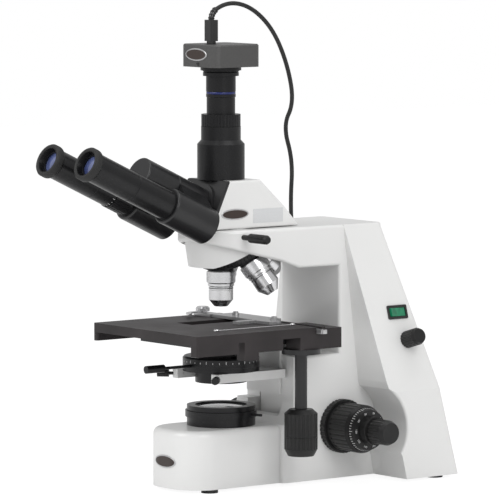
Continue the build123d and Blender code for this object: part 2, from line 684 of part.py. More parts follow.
def condenser_knob():
    """Knob, shaft and pinion of the condenser's height."""
    place = Plane(origin=(0, PINION_Y, PINION_Z), x_dir=(0, 1, 0), z_dir=(1, 0, 0))
    grip = fluted(CONDENSER_KNOB_R, *CONDENSER_KNOB_X, 16, 1.1)
    shaft = Pos(0, 0, (12 + CONDENSER_KNOB_X[0]) / 2) * Cylinder(FINE_SHAFT_R, 12 - CONDENSER_KNOB_X[0])
    wheel = Pos(0, 0, -RACK_HALF + 0.5) * gear(FOCUS_TEETH, 2 * RACK_HALF - 1)
    return place * (grip + shaft + wheel)


TURRET_PLANE = Plane(
    origin=(0, 0, APEX_Z),
    x_dir=(1, 0, 0),
    z_dir=(0, math.sin(math.radians(TURRET_TILT)), -math.cos(math.radians(TURRET_TILT))),
)


def objective_plane(turn):
    """Plane on the turret's sphere of shoulders, its Z along the objective that lies at this turn."""
    tilt = math.radians(TURRET_TILT)
    phi = math.radians(turn)
    along = math.cos(tilt) * (1 - math.cos(phi))
    x = -math.sin(phi) * math.sin(tilt)
    y = along * math.sin(tilt)
    z = -along * math.cos(tilt) - math.cos(phi)
    return Plane(origin=(0, 0, APEX_Z), z_dir=(x, y, z))


def nosepiece_mount():
    """White funnel under the arm with the turret's pivot."""
    funnel = Pos(0, 6, 285) * Cone(44, 50, 42)
    funnel -= TURRET_PLANE * Pos(0, 0, MOUNT_S + 50) * Cylinder(90, 100)
    pivot = TURRET_PLANE * (Pos(0, 0, 47.8) * Cylinder(PIVOT_R, 13.6) + Pos(0, 0, 55.5) * Cylinder(10, 2.4))
    light = post(8, 255, 310)
    return funnel + pivot - light


def turret_ring():
    """Revolving disc with four threaded bosses."""
    low, high = TURRET_S
    disc = fluted(TURRET_R, low, high - 4, 60, 1.1)
    disc += Pos(0, 0, high - 2) * Cone(TURRET_R - 0.5, TURRET_R - 4, 4)
    ring = TURRET_PLANE * disc
    for turn in OBJECTIVE_TURNS:
        boss = Pos(0, 0, (BOSS_START + SHOULDER) / 2) * Cylinder(BOSS_R, SHOULDER - BOSS_START)
        ring += objective_plane(turn) * boss
    for turn in OBJECTIVE_TURNS:
        ring -= objective_plane(turn) * Pos(0, 0, 63) * Cylinder(THREAD_R, 10)
        ring -= objective_plane(turn) * Pos(0, 0, 50) * Cylinder(7, 30)
    return ring - TURRET_PLANE * Pos(0, 0, 48) * Cylinder(PIVOT_R + RUN_FIT, 20)



def objective(turn, length, tip_r, step):
    """Turned barrel with a grip band, a waist and a nose cone."""
    points = [(4, -SPIGOT_LEN), (SPIGOT_R, -SPIGOT_LEN), (SPIGOT_R, 0), (15.2, 0), (15.2, 14), (13.5, 15)]
    points += [(13.5, 18), (12.6, 19), (12.6, length - step), (tip_r, length), (3, length), (3, length - 1.5)]
    points += [(4, length - 1.5)]
    return objective_plane(turn) * Pos(0, 0, SHOULDER) * turned(points)


HEAD_PLANE = Plane(origin=(0, HINGE_Y, HINGE_Z), x_dir=(1, 0, 0), z_dir=(0, -COS_HEAD, SIN_HEAD))


def head_block():
    """Full wedge of the head before its front plate is parted off."""
    points = [(-36, HEAD_LOW_Z), (-60, 330), (-40, HEAD_TOP_Z), (30, HEAD_TOP_Z)]
    points += [(66.5, 335), (89, HEAD_LOW_Z)]
    wedge = side_profile(points, HEAD_HALF)
    wedge = fillet(wedge.edges().filter_by(lambda e: abs(abs(e.center().X) - HEAD_HALF) < 0.01), 2.5)
    wedge -= HEAD_PLANE * Pos(0, 0, 50) * Box(100, 140, 100)
    return wedge


def head_housing():
    body = head_block() - HEAD_PLANE * Pos(0, 0, 50 - PLATE_T) * Box(100, 140, 100)
    body += post(36, ARM_TOP_Z, HEAD_LOW_Z + 1)
    body -= post(14, 300, 330) + post(14, 345, HEAD_TOP_Z + 1)
    return body


def hinge_plate():
    """Black front plate of the head with the flange and pin that the eye tubes swing on."""
    plate = head_block() & HEAD_PLANE * Pos(0, 0, -PLATE_T / 2) * Box(100, 140, PLATE_T)
    flange = Pos(0, 0, FLANGE_T / 2) * Cylinder(FLANGE_R, FLANGE_T)
    pin = Pos(0, 0, 45) * Cylinder(HINGE_R, 90)
    return plate + HEAD_PLANE * (flange + pin)


def prism_housing(side, hub_from, hub_to, web_to):
    """Half of the binocular body: hub on the pin, lobe for the tube and the web between."""
    lobe_x, lobe_y = side * TUBE_SPREAD, -EYEPIECE_DROP
    reach = math.hypot(lobe_x, lobe_y)
    turn = math.degrees(math.atan2(lobe_y, lobe_x))
    web_from = max(hub_from, LOBE_S[0])
    hub = Pos(0, 0, (hub_from + hub_to) / 2) * Cylinder(HUB_R, hub_to - hub_from)
    hub = fillet(hub.edges().group_by(Axis.Z)[-1], 2)
    lobe = Pos(lobe_x, lobe_y, sum(LOBE_S) / 2) * Cylinder(LOBE_R, LOBE_S[1] - LOBE_S[0])
    lobe = fillet(lobe.edges().group_by(Axis.Z)[-1], 2.5)
    web = Pos(reach / 2, 0, (web_from + web_to) / 2) * Box(reach, 2 * WEB_HALF, web_to - web_from)
    web = Rot(0, 0, turn) * web
    body = hub + lobe + web
    body -= Pos(0, 0, 45) * Cylinder(HINGE_R + RUN_FIT, 91)
    body -= Pos(lobe_x, lobe_y, LOBE_S[1] - 6) * Cylinder(13, 13)
    return HEAD_PLANE * body


def eye_tube_profile(low):
    points = [(11, low), (12.95, low), (12.95, LOBE_S[1]), (17.5, LOBE_S[1]), (17.5, 128), (17, 128.5)]
    points += [(17.5, 129), (17.5, 188), (EYEPIECE_RIM_R, 191), (EYEPIECE_RIM_R, 197), (17.5, EYEPIECE_END)]
    points += [(15, EYEPIECE_END), (13, 193), (12, 193), (12, 189), (11, 189)]
    return points


def eyepiece(side, ring):
    """Sleeve and eyepiece of one side, with a seat for the dioptre ring where it has one."""
    barrel = turned(eye_tube_profile(LOBE_S[1] - 10))
    if ring:
        barrel -= turned([(15, 76), (20, 76), (20, 100), (15, 100)])
    return HEAD_PLANE * Pos(side * TUBE_SPREAD, -EYEPIECE_DROP, 0) * barrel


def dioptre_ring():
    ring = fluted(18.5, 76.2, 99.8, 30, 1) - Pos(0, 0, 88) * Cylinder(15.1, 40)
    return HEAD_PLANE * Pos(-TUBE_SPREAD, -EYEPIECE_DROP, 0) * ring


def eye_lens(side):
    lens = Pos(0, 0, 192.6 - 40) * Sphere(40) & Pos(0, 0, 191) * Cylinder(12, 4)
    return HEAD_PLANE * Pos(side * TUBE_SPREAD, -EYEPIECE_DROP, 0) * lens


def head_lock_screw():
    place = Plane(origin=(0, LOCK_Y, LOCK_Z), x_dir=(0, 1, 0), z_dir=(1, 0, 0))
    stem = Pos(0, 0, 62) * Cylinder(3.2, 16)
    grip = fluted(5.5, 68, 98, 12, 0.8) + Pos(0, 0, 99.5) * Cone(5.5, 4, 3)
    return place * (stem + grip)


def photo_tube():
    points = [(14, HEAD_TOP_Z), (PHOTO_R, HEAD_TOP_Z), (PHOTO_R, 410), (23.7, 415), (23.7, PHOTO_TOP_Z)]
    points += [(NECK_R, PHOTO_TOP_Z), (NECK_R, NECK_TOP_Z), (NECK_BORE, NECK_TOP_Z)]
    points += [(NECK_BORE, 425), (14, 425)]
    return turned(points)


def clamp_ring():
    ring = fluted(CLAMP_R, PHOTO_TOP_Z + GAP, CLAMP_TOP_Z, 36, 1)
    ring -= post(NECK_R + RUN_FIT, 430, NECK_TOP_Z + 0.1)
    return ring - post(NECK_BORE + 0.1, 430, 450)


def camera_adapter():
    points = [(12, 425.2), (ADAPTER_R, 425.2), (ADAPTER_R, 465.5), (17.7, 466), (17.7, 469), (17.3, 469.4)]
    points += [(17.3, 472.2), (17.7, 472.6), (17.7, ADAPTER_TOP_Z), (12, ADAPTER_TOP_Z)]
    return turned(points)


def c_mount_ring():
    low = ADAPTER_TOP_Z
    points = [(CMOUNT_BORE_R, low), (21.4, low), (21.4, low + 4), (20.5, low + 4.6), (21.4, low + 5.2)]
    points += [(21.4, low + 6), (24.3, low + 6.6), (24.3, CMOUNT_TOP_Z), (CMOUNT_BORE_R, CMOUNT_TOP_Z)]
    return turned(points)


def camera_housing():
    plan = RectangleRounded(CAMERA_W, CAMERA_W, CAMERA_CORNER_R)
    body = Pos(0, 0, CMOUNT_TOP_Z) * extrude(plan, CAMERA_H)
    body = chamfer(body.edges().group_by(Axis.Z)[-1], 1.5)
    body -= post(CMOUNT_BORE_R, CMOUNT_TOP_Z - 2, CMOUNT_TOP_Z + 13)
    half_x = PLUG_SHELL[0] / 2 + 0.1
    half_y = PLUG_SHELL[1] / 2 + RUN_FIT
    floor = CAMERA_TOP_Z - SOCKET_DEPTH
    body -= block(-half_x, half_x, PLUG_Y - half_y, PLUG_Y + half_y, floor, CAMERA_TOP_Z + 1)
    return body


def usb_plug():
    """Plug in the camera's socket with its bent strain relief."""
    half_x = PLUG_SHELL[0] / 2
    half_y = PLUG_SHELL[1] / 2
    low = CAMERA_TOP_Z + 3.5
    tip = CAMERA_TOP_Z - SOCKET_DEPTH + 0.5
    shell = block(-half_x, half_x, PLUG_Y - half_y, PLUG_Y + half_y, tip, low + 0.5)
    body = Pos(0, PLUG_Y, low) * extrude(RectangleRounded(16, 11, 3), PLUG_TOP_Z - low)
    place = Plane(origin=(0, PLUG_Y, PLUG_TOP_Z), x_dir=(1, 0, 0), z_dir=(0, 0, 1))
    bend_axis = Axis((0, PLUG_Y + RELIEF_BEND_R, PLUG_TOP_Z), (-1, 0, 0))
    relief = revolve(place * Circle(3.4), bend_axis, RELIEF_TURN)
    return shell + body + relief


def plan_point(right, near, z):
    """Point from its place across the photograph's view and towards the viewer."""
    return (0.6157 * right + 0.788 * near, 0.788 * right - 0.6157 * near, z)


def relief_end():
    turn = math.radians(RELIEF_TURN)
    y = PLUG_Y + RELIEF_BEND_R * (1 - math.cos(turn))
    return (0, y, PLUG_TOP_Z + RELIEF_BEND_R * math.sin(turn))



def cord_points():
    """Route of the cord from the relief down behind the stand to the coil."""
    start = relief_end()
    rise = FIRST_RUN * math.cos(math.radians(RELIEF_TURN))
    ahead = FIRST_RUN * math.sin(math.radians(RELIEF_TURN))
    points = [start, (0, start[1] + ahead, start[2] + rise)]
    points += [
        plan_point(35, -25, 573),
        plan_point(62, -52, 545),
        plan_point(80, -82, 500),
        plan_point(88, -110, 453),
        plan_point(75, -124, 424),
        plan_point(87, -140, 380),
        plan_point(84, -156, 328),
    ]
    points += [
        (-88, 180, 268),
        (-112, 196, 205),
        (-132, 204, 140),
        (-142, 205, 78),
        (-150, 200, 34),
        (-168, 182, 8),
        (COIL_AT[0] - 10, COIL_AT[1] + COIL_R, CORD_R),
    ]
    return points


def fillet_radii(points):
    """Largest arc radius at each corner that the two runs allow."""
    radii = []
    for before, here, after in zip(points, points[1:], points[2:]):
        into = Vector(*here) - Vector(*before)
        out = Vector(*after) - Vector(*here)
        half_turn = math.radians(into.get_angle(out)) / 2
        radii.append(0.45 * min(into.length, out.length) / math.tan(half_turn))
    return radii


def usb_cord():
    points = cord_points()
    radii = fillet_radii(points)
    path = FilletPolyline(*points, radius=radii)
    start = Plane(origin=path @ 0, z_dir=path % 0)
    tube = sweep(start * Circle(CORD_R), path)
    section = math.pi * CORD_R**2
    print("cord radii", [round(r, 1) for r in radii], "length", round(path.length, 1))
    print("cord volume against section times length", round(tube.volume / (section * path.length), 4))
    return tube


def usb_coil():
    """Outer shape of the coiled rest of the cord."""
    return Pos(COIL_AT[0], COIL_AT[1], 2 * CORD_R) * Torus(COIL_R, 2 * CORD_R)


def usb_far_plug():
    """Plug of the cord's far end, lying beside the coil."""
    x, y = COIL_AT
    body = block(x - 20, x + 5, y - 7, y + 7, 0.5, 8.5)
    tail = axle(CORD_R, x - COIL_R + 2 * CORD_R - 1, x - 20, y, 4.5)
    return body + tail + block(x + 5, x + 18, y - 6, y + 6, 2.25, 6.75)


PIECES = {
    "stand_casting": stand_casting,
    "lamp_base": lamp_base,
    "lamp_collar": lamp_collar,
    "field_ring": field_ring,
    "field_lens": field_lens,
    "halogen_bulb": halogen_bulb,
    "bottom_plate": bottom_plate,
    "rubber_feet": rubber_feet,
    "power_inlet": power_inlet,
    "switch_bezel": switch_bezel,
    "switch_rocker": switch_rocker,
    "brightness_knob": brightness_knob,
    "tension_ring": tension_ring,
    "coarse_shaft": coarse_shaft,
    "coarse_knobs": coarse_knobs,
    "fine_shaft": fine_shaft,
    "fine_knobs": fine_knobs,
    "focus_carriage": focus_carriage,
    "focus_rack": focus_rack,
    "stage_base": stage_base,
    "stage_plate": stage_plate,
    "drive_sleeve": drive_sleeve,
    "stage_y_knob": stage_y_knob,
    "stage_x_knob": stage_x_knob,
    "x_slide": x_slide,
    "specimen_holder": specimen_holder,
    "slide_finger": slide_finger,
    "condenser_carrier": condenser_carrier,
    "centring_screw_right": lambda: centring_screw(1),
    "centring_screw_left": lambda: centring_screw(-1),
    "condenser_body": condenser_body,
    "condenser_lens": condenser_lens,
    "iris_ring": iris_ring,
    "condenser_knob": condenser_knob,
    "nosepiece_mount": nosepiece_mount,
    "turret_ring": turret_ring,
    "objective_medium": lambda: objective(OBJECTIVE_TURNS[0], 42, 8, 8),
    "objective_high": lambda: objective(OBJECTIVE_TURNS[1], 44, 7, 10),
    "objective_immersion": lambda: objective(OBJECTIVE_TURNS[2], 44.6, 6.5, 11),
    "objective_low": lambda: objective(OBJECTIVE_TURNS[3], 29, 11, 4),
    "head_housing": head_housing,
    "hinge_plate": hinge_plate,
    "prism_housing_right": lambda: prism_housing(1, 3, HUB_SPLIT - 0.2, HUB_SPLIT - 0.2),
    "prism_housing_left": lambda: prism_housing(-1, HUB_SPLIT + 0.2, HUB_END, LOBE_S[1]),
    "eyepiece_right": lambda: eyepiece(1, False),
    "eyepiece_left": lambda: eyepiece(-1, True),
    "dioptre_ring": dioptre_ring,
    "eye_lens_right": lambda: eye_lens(1),
    "eye_lens_left": lambda: eye_lens(-1),
    "head_lock_screw": head_lock_screw,
    "photo_tube": photo_tube,
    "clamp_ring": clamp_ring,
    "camera_adapter": camera_adapter,
    "c_mount_ring": c_mount_ring,
    "camera_housing": camera_housing,
    "usb_plug": usb_plug,
    "usb_cord": usb_cord,
    "usb_coil": usb_coil,
    "usb_far_plug": usb_far_plug,
}

for name, make in PIECES.items():
    export_step(Pos(0, -Y_MID, 0) * make(), f"parts/{name}.step")

print("middle of the row", round(Y_MID, 4))
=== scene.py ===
import json
import math

import bpy
import numpy as np
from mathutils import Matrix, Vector


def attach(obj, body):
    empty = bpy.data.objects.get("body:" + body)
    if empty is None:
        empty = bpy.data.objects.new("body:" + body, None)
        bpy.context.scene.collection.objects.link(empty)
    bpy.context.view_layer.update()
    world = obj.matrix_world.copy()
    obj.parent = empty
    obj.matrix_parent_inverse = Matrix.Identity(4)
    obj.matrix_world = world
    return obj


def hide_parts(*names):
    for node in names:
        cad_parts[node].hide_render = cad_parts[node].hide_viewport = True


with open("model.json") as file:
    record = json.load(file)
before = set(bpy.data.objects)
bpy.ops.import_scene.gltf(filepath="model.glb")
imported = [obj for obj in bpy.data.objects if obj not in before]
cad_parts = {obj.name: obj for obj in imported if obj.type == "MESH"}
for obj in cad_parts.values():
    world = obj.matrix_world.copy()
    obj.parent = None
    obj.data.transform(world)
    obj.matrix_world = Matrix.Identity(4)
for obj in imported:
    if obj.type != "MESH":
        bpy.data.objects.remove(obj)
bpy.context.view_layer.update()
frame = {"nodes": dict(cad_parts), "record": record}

bl_info = {
    "name": "Trinocular microscope dressing",
    "version": (1, 0, 0),
    "blender": (4, 5, 0),
    "location": "3D View > Sidebar > Microscope",
    "description": "Finishes, scales, trim and cord of a trinocular microscope around its CAD frame",
    "category": "Object",
}

# Real sizes in metres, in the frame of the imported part.
Y_MID = 0.019773
HEAD_TILT = math.radians(25)
TURRET_TILT = math.radians(25)
HINGE = Vector((0, -0.034 - Y_MID, 0.338))
TUBE_ACROSS = Vector((1, 0, 0))
TUBE_ALONG = Vector((0, -math.cos(HEAD_TILT), math.sin(HEAD_TILT)))
TUBE_UP = Vector((0, math.sin(HEAD_TILT), math.cos(HEAD_TILT)))
APEX = Vector((0, -Y_MID, 0.324))
AXLE = Vector((0, 0.138 - Y_MID, 0.067))


def place(x, y, z):
    """Point of the row frame from millimetres measured at the optical axis."""
    return Vector((x / 1000, y / 1000 - Y_MID, z / 1000))


MARK_T = 0.00012

# Meshes from arrays.


def mesh_piece(name, points, faces):
    """Object at the origin from an array of points and a list of faces."""
    mesh = bpy.data.meshes.new(name)
    mesh.from_pydata(np.asarray(points, dtype=float).tolist(), [], faces)
    mesh.update()
    mesh.shade_smooth()
    piece = bpy.data.objects.new(name, mesh)
    bpy.context.collection.objects.link(piece)
    return piece


def grid_faces(rows, columns, wrap):
    """Quads of a grid of points, joined round in its second direction if it wraps."""
    last = columns if wrap else columns - 1
    i, j = np.meshgrid(np.arange(rows - 1), np.arange(last), indexing="ij")
    a = i * columns + j
    b = i * columns + (j + 1) % columns
    quads = np.stack([a, b, b + columns, a + columns], axis=-1).reshape(-1, 4)
    return quads.tolist()


def frame_of(axis):
    """Two unit vectors square to an axis."""
    axis = Vector(axis).normalized()
    side = axis.cross(Vector((0, 0, 1)) if abs(axis.z) < 0.9 else Vector((1, 0, 0))).normalized()
    return np.array(side), np.array(axis.cross(side).normalized()), np.array(axis)


def metres(outline):
    """The (radius, height) points of an outline in millimetres, in metres."""
    return [(radius / 1000, height / 1000) for radius, height in outline]


def turned_piece(name, origin, axis, profile, sides=96):
    """Closed solid of revolution: origin + h*axis + r*(cos t*e1 + sin t*e2) over a (r, h) outline."""
    e1, e2, along = frame_of(axis)
    outline = np.array(list(profile) + [profile[0]], dtype=float)
    angle = np.linspace(0, 2 * np.pi, sides, endpoint=False)
    ring = np.cos(angle)[:, None] * e1 + np.sin(angle)[:, None] * e2
    points = np.array(origin) + outline[:, 1, None, None] * along + outline[:, 0, None, None] * ring
    return mesh_piece(name, points.reshape(-1, 3), grid_faces(len(outline), sides, True))


def slab_piece(name, outline, origin, across, up, depth, bevel=0.0):
    """Flat plate: an outline of (a, b) points at origin + a*across + b*up, thickened along across x up."""
    outline = np.array(outline, dtype=float)
    out = np.array(Vector(across).cross(Vector(up)).normalized())
    flat = np.array(origin) + outline[:, :1] * np.array(across) + outline[:, 1:] * np.array(up)
    count = len(outline)
    points = np.vstack([flat, flat + out * depth])
    faces = [list(range(count))[::-1], list(range(count, 2 * count))]
    faces += [[i, (i + 1) % count, count + (i + 1) % count, count + i] for i in range(count)]
    piece = mesh_piece(name, points, faces)
    piece.data.shade_flat()
    if bevel:
        round_edges(piece, bevel)
    return piece


def round_edges(piece, width, segments=3):
    bevel = piece.modifiers.new("rounded edges", "BEVEL")
    bevel.width = width
    bevel.segments = segments
    bevel.limit_method = "ANGLE"
    bevel.harden_normals = True
    piece.data.shade_smooth()


def rounded_box_outline(half_x, half_y, radius, steps=8):
    """Rectangle whose corners are quarter circles."""
    quarter = np.linspace(0, np.pi / 2, steps)
    rows = []
    for turn, cx, cy in ((0, 1, 1), (1, -1, 1), (2, -1, -1), (3, 1, -1)):
        angle = quarter + turn * np.pi / 2
        rows.append(np.stack([cx * (half_x - radius) + radius * np.cos(angle),
                              cy * (half_y - radius) + radius * np.sin(angle)], axis=-1))
    return np.vstack(rows)


def marks_piece(name, origin, axis, radius, height, count, width, lengths, arc=(0, 2 * np.pi), cone=0.0):
    """Scale marks on a turned face: thin plates at angle t from radius and height, length by its number."""
    e1, e2, along = frame_of(axis)
    angle = np.linspace(arc[0], arc[1], count, endpoint=False)
    length = np.array([lengths[i % len(lengths)] for i in range(count)])
    radial = np.cos(angle)[:, None] * e1 + np.sin(angle)[:, None] * e2
    tangent = -np.sin(angle)[:, None] * e1 + np.cos(angle)[:, None] * e2
    base = np.array(origin) + radius * radial + height * along
    points = []
    ring_of_corners = ((0, -1), (0, 1), (1, 1), (1, -1))
    for raised in (0, MARK_T):
        for far, side in ring_of_corners:
            shift = far * length[:, None]
            sloped = base + shift * along - cone * shift * radial
            points.append(sloped + side * width / 2 * tangent + raised * radial)
    block = np.stack(points, axis=1).reshape(-1, 3)
    pattern = np.array([[0, 1, 2, 3], [7, 6, 5, 4], [4, 5, 1, 0], [6, 7, 3, 2], [5, 6, 2, 1], [7, 4, 0, 3]])
    faces = (np.arange(count)[:, None, None] * 8 + pattern[None]).reshape(-1, 4)
    piece = mesh_piece(name, block, faces.tolist())
    piece.data.shade_flat()
    return piece


def numbers_piece(name, rows, depth=0.00008):
    """One mesh of plain numbers: each row has its text, size, origin, and the unit vectors across and up."""
    points, faces, first = [], [], 0
    for text, size, origin, across, up in rows:
        curve = bpy.data.curves.new(name, "FONT")
        curve.body = text
        curve.size = size
        curve.align_x = "CENTER"
        curve.align_y = "CENTER"
        curve.extrude = depth
        source = bpy.data.objects.new(name + "_text", curve)
        bpy.context.collection.objects.link(source)
        bpy.context.view_layer.update()
        mesh = bpy.data.meshes.new_from_object(source)
        bpy.data.objects.remove(source)
        bpy.data.curves.remove(curve)
        flat = np.empty(len(mesh.vertices) * 3)
        mesh.vertices.foreach_get("co", flat)
        flat = flat.reshape(-1, 3)
        out = np.array(Vector(across).cross(Vector(up)))
        points.append(np.array(origin) + flat[:, :1] * np.array(across) + flat[:, 1:2] * np.array(up)
                      + flat[:, 2:] * out)
        faces += [[first + corner for corner in face.vertices] for face in mesh.polygons]
        first += len(mesh.vertices)
        bpy.data.meshes.remove(mesh)
    piece = mesh_piece(name, np.vstack(points), faces)
    piece.data.shade_flat()
    return piece


# Finishes.


class FinishSettings(bpy.types.PropertyGroup):
    """Colours that a user would change."""

    enamel: bpy.props.FloatVectorProperty(
        name="Enamel", description="White of the castings", default=(0.86, 0.86, 0.852), subtype="COLOR"
    )
    badge: bpy.props.FloatVectorProperty(
        name="Badge", description="Ground of the oval plates", default=(0.040, 0.026, 0.021), subtype="COLOR"
    )
    band: bpy.props.FloatVectorProperty(
        name="Band", description="Ring on the camera's adapter", default=(0.012, 0.022, 0.14), subtype="COLOR"
    )
    label: bpy.props.FloatVectorProperty(
        name="Label", description="Bare label on the head", default=(0.72, 0.73, 0.74), subtype="COLOR"
    )


def chosen(name):
    """A colour from the panel."""
    return tuple(getattr(bpy.context.scene.scope_finish, name))


def finish_base(name, color, roughness, metallic=0.0, coat=0.0, specular=0.5):
    """Material with its shader, whose uniform values sit on its own sockets."""
    material = bpy.data.materials.new(name)
    material.use_nodes = True
    shader = material.node_tree.nodes["Principled BSDF"]
    shader.inputs["Base Color"].default_value = (*color, 1)
    shader.inputs["Roughness"].default_value = roughness
    shader.inputs["Metallic"].default_value = metallic
    shader.inputs["Coat Weight"].default_value = coat
    shader.inputs["Specular IOR Level"].default_value = specular
    return material, material.node_tree.nodes, material.node_tree.links, shader


def grain(nodes, links, scale, detail=4.0, stretch=(1, 1, 1)):
    """Noise over the object's own coordinates."""
    where = nodes.new("ShaderNodeTexCoord")
    mapping = nodes.new("ShaderNodeMapping")
    mapping.inputs["Scale"].default_value = stretch
    noise = nodes.new("ShaderNodeTexNoise")
    noise.inputs["Scale"].default_value = scale
    noise.inputs["Detail"].default_value = detail
    links.new(where.outputs["Object"], mapping.inputs["Vector"])
    links.new(mapping.outputs["Vector"], noise.inputs["Vector"])
    return noise


def vary_roughness(nodes, links, shader, noise, low, high):
    span = nodes.new("ShaderNodeMapRange")
    span.inputs["To Min"].default_value = low
    span.inputs["To Max"].default_value = high
    links.new(noise.outputs["Fac"], span.inputs["Value"])
    links.new(span.outputs["Result"], shader.inputs["Roughness"])


def vary_color(nodes, links, shader, noise, dark, light):
    ramp = nodes.new("ShaderNodeValToRGB")
    ramp.color_ramp.elements[0].position = 0.3
    ramp.color_ramp.elements[0].color = (*dark, 1)
    ramp.color_ramp.elements[1].position = 0.7
    ramp.color_ramp.elements[1].color = (*light, 1)
    links.new(noise.outputs["Fac"], ramp.inputs["Fac"])
    links.new(ramp.outputs["Color"], shader.inputs["Base Color"])


def add_bump(nodes, links, shader, noise, strength, distance):
    bump = nodes.new("ShaderNodeBump")
    bump.inputs["Strength"].default_value = strength
    bump.inputs["Distance"].default_value = distance
    links.new(noise.outputs["Fac"], bump.inputs["Height"])
    links.new(bump.outputs["Normal"], shader.inputs["Normal"])


def white_enamel():
    """Smooth warm-white stoved enamel with a faint orange peel."""
    material, nodes, links, shader = finish_base("white enamel", (0.84, 0.84, 0.83), 0.28, coat=0.35)
    noise = grain(nodes, links, 420, 2)
    vary_roughness(nodes, links, shader, noise, 0.25, 0.36)
    light = chosen("enamel")
    dark = tuple(0.965 * part for part in light)
    vary_color(nodes, links, shader, grain(nodes, links, 9, 3), dark, light)
    add_bump(nodes, links, shader, noise, 0.05, 0.0002)
    return material


def black_enamel():
    """Satin black paint of the castings."""
    material, nodes, links, shader = finish_base("black enamel", (0.018, 0.018, 0.02), 0.36, coat=0.1)
    noise = grain(nodes, links, 900, 3)
    vary_roughness(nodes, links, shader, noise, 0.3, 0.42)
    vary_color(nodes, links, shader, grain(nodes, links, 14, 3), (0.008, 0.008, 0.009), (0.015, 0.015, 0.016))
    add_bump(nodes, links, shader, noise, 0.08, 0.00015)
    return material


def black_stage():
    """Hard matt coat of the stage plate, a little warm and rubbed by slides."""
    material, nodes, links, shader = finish_base("stage coat", (0.03, 0.026, 0.026), 0.5, specular=0.35)
    fine = grain(nodes, links, 1500, 3)
    vary_roughness(nodes, links, shader, grain(nodes, links, 22, 5), 0.38, 0.58)
    vary_color(nodes, links, shader, grain(nodes, links, 16, 5), (0.017, 0.0145, 0.015), (0.036, 0.030, 0.031))
    add_bump(nodes, links, shader, fine, 0.12, 0.0001)
    return material


def black_anodised():
    """Turned and anodised aluminium with a fine grain in its roughness."""
    material, nodes, links, shader = finish_base("black anodised", (0.016, 0.016, 0.018), 0.3, 0.35)
    noise = grain(nodes, links, 700, 3, (1, 1, 1))
    vary_roughness(nodes, links, shader, noise, 0.22, 0.38)
    vary_color(nodes, links, shader, grain(nodes, links, 20, 2), (0.008, 0.008, 0.009), (0.015, 0.015, 0.016))
    return material


def black_grip():
    """Moulded knob plastic."""
    material, nodes, links, shader = finish_base("black knob", (0.012, 0.012, 0.012), 0.42, specular=0.38)
    noise = grain(nodes, links, 1200, 4)
    vary_roughness(nodes, links, shader, noise, 0.34, 0.5)
    vary_color(nodes, links, shader, grain(nodes, links, 30, 3), (0.008, 0.008, 0.008), (0.017, 0.017, 0.017))
    add_bump(nodes, links, shader, noise, 0.15, 0.0002)
    return material


def soft_rubber():
    material, nodes, links, shader = finish_base("black rubber", (0.02, 0.02, 0.02), 0.6)
    noise = grain(nodes, links, 1600, 4)
    vary_color(nodes, links, shader, grain(nodes, links, 40, 3), (0.008, 0.008, 0.008), (0.018, 0.018, 0.018))
    vary_roughness(nodes, links, shader, noise, 0.5, 0.7)
    add_bump(nodes, links, shader, noise, 0.2, 0.0002)
    return material


def satin_chrome():
    """Bright satin plating of the objectives and small parts."""
    material, nodes, links, shader = finish_base("satin chrome", (0.78, 0.78, 0.79), 0.2, 1.0)
    noise = grain(nodes, links, 600, 4)
    vary_roughness(nodes, links, shader, noise, 0.15, 0.28)
    vary_color(nodes, links, shader, grain(nodes, links, 25, 2), (0.74, 0.74, 0.76), (0.82, 0.82, 0.82))
    return material


def ground_steel():
    material, nodes, links, shader = finish_base("ground steel", (0.6, 0.6, 0.61), 0.32, 1.0)
    noise = grain(nodes, links, 300, 3, (0.05, 1, 1))
    vary_roughness(nodes, links, shader, noise, 0.24, 0.42)
    vary_color(nodes, links, shader, noise, (0.52, 0.52, 0.53), (0.68, 0.68, 0.68))
    return material


def brass():
    material, nodes, links, shader = finish_base("brass", (0.72, 0.52, 0.22), 0.3, 1.0)
    noise = grain(nodes, links, 300, 3)
    vary_color(nodes, links, shader, noise, (0.62, 0.44, 0.18), (0.76, 0.56, 0.26))
    return material


def camera_coat():
    """Fine grey coat of the camera body."""
    material, nodes, links, shader = finish_base("camera coat", (0.085, 0.085, 0.085), 0.4, 0.3)
    noise = grain(nodes, links, 2200, 4)
    vary_color(nodes, links, shader, noise, (0.06, 0.06, 0.06), (0.12, 0.118, 0.116))
    add_bump(nodes, links, shader, noise, 0.25, 0.0002)
    return material


def coated_glass():
    """Lens glass with a faint blue coat."""
    material, nodes, links, shader = finish_base("coated lens", (0.10, 0.13, 0.28), 0.04, 0.0, 1.0, 0.8)
    noise = grain(nodes, links, 60, 1)
    vary_color(nodes, links, shader, noise, (0.05, 0.07, 0.2), (0.16, 0.2, 0.42))
    return material


def clear_glass():
    material, nodes, links, shader = finish_base("clear lens", (0.8, 0.82, 0.84), 0.06, 0.0, 0.6, 0.6)
    vary_roughness(nodes, links, shader, grain(nodes, links, 30, 1), 0.04, 0.1)
    shader.inputs["Transmission Weight"].default_value = 0.7
    shader.inputs["IOR"].default_value = 1.5
    return material


def green_lens():
    """Translucent green of the lit rocker."""
    material, nodes, links, shader = finish_base("green rocker", (0.01, 0.22, 0.1), 0.2, 0.0, 0.6)
    noise = grain(nodes, links, 160, 2)
    vary_color(nodes, links, shader, noise, (0.002, 0.09, 0.045), (0.01, 0.22, 0.11))
    shader.inputs["Emission Color"].default_value = (0.0, 0.5, 0.2, 1)
    shader.inputs["Emission Strength"].default_value = 0.12
    return material


def gloss_black():
    material, nodes, links, shader = finish_base("gloss black", (0.012, 0.012, 0.012), 0.2, 0.0, 0.4)
    vary_roughness(nodes, links, shader, grain(nodes, links, 500, 3), 0.16, 0.28)
    return material


